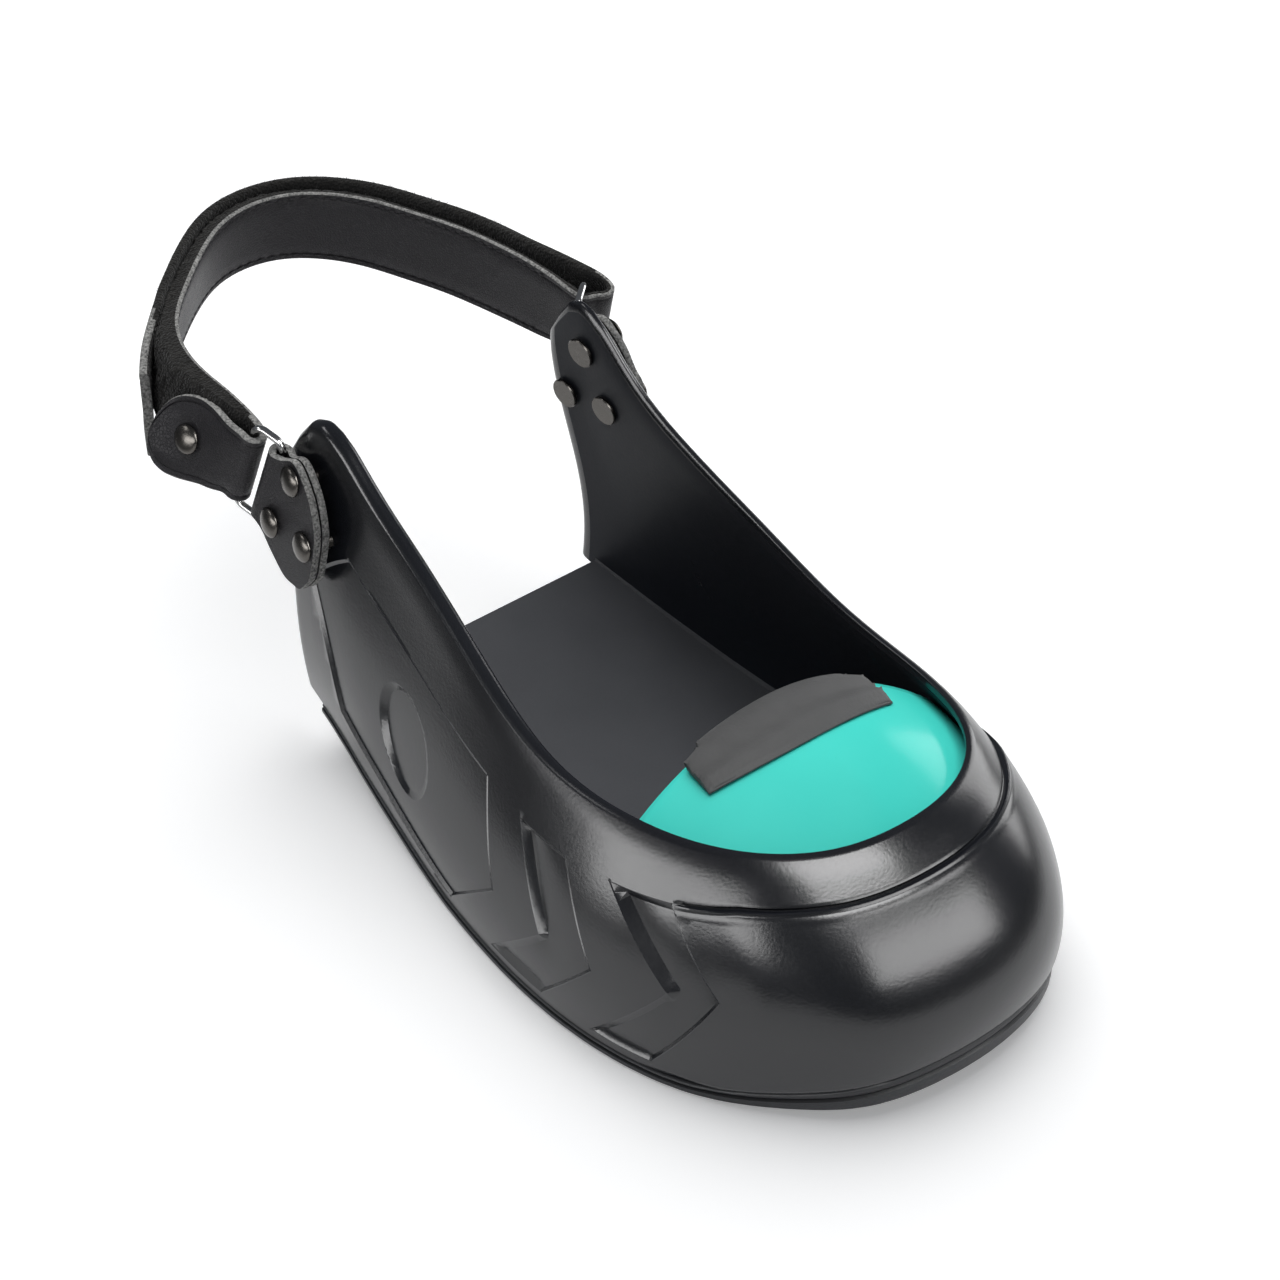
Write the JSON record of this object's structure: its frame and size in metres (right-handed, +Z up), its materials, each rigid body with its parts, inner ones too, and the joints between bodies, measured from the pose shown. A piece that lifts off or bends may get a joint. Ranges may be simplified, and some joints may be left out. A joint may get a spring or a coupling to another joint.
{
  "type": "safety toe overshoe",
  "caption": "Rubber safety overshoe for the right foot: open shell over the forefoot with a painted steel toe cap, rear wings and a leather heel strap on wire rings.",
  "frame": {"origin": "on the flat tread under the ball of the foot, on the floor plane", "axes": "+Z up, toe towards -Y, +Y to the heel strap, +X to the medial side of a right foot"},
  "size_m": [0.1264, 0.3102, 0.1008],
  "materials": {
    "sole_rubber": "satin moulded rubber",
    "upper_rubber": "semi-gloss moulded rubber",
    "cap_paint": "gloss turquoise paint on pressed steel",
    "trim_rubber": "matte extruded rubber",
    "tab_leather": "black leather with grey cut edges",
    "strap_leather": "black leather, black pile on the outside",
    "ring_wire": "bright wire",
    "rivet_metal": "dark domed rivets"
  },
  "bodies": {
    "root": {"outsole": "sole_rubber", "upper": "upper_rubber", "toe_cap": "cap_paint", "cap_trim": "trim_rubber", "wing_tab_lateral": "tab_leather", "wing_tab_medial": "tab_leather", "ring_lateral": "ring_wire", "ring_medial": "ring_wire", "heel_strap": "strap_leather", "tab_rivet_lateral_1": "rivet_metal", "tab_rivet_lateral_2": "rivet_metal", "tab_rivet_lateral_3": "rivet_metal", "tab_rivet_medial_1": "rivet_metal", "tab_rivet_medial_2": "rivet_metal", "tab_rivet_medial_3": "rivet_metal", "flap_rivet": "rivet_metal"}
  },
  "joints": []
}
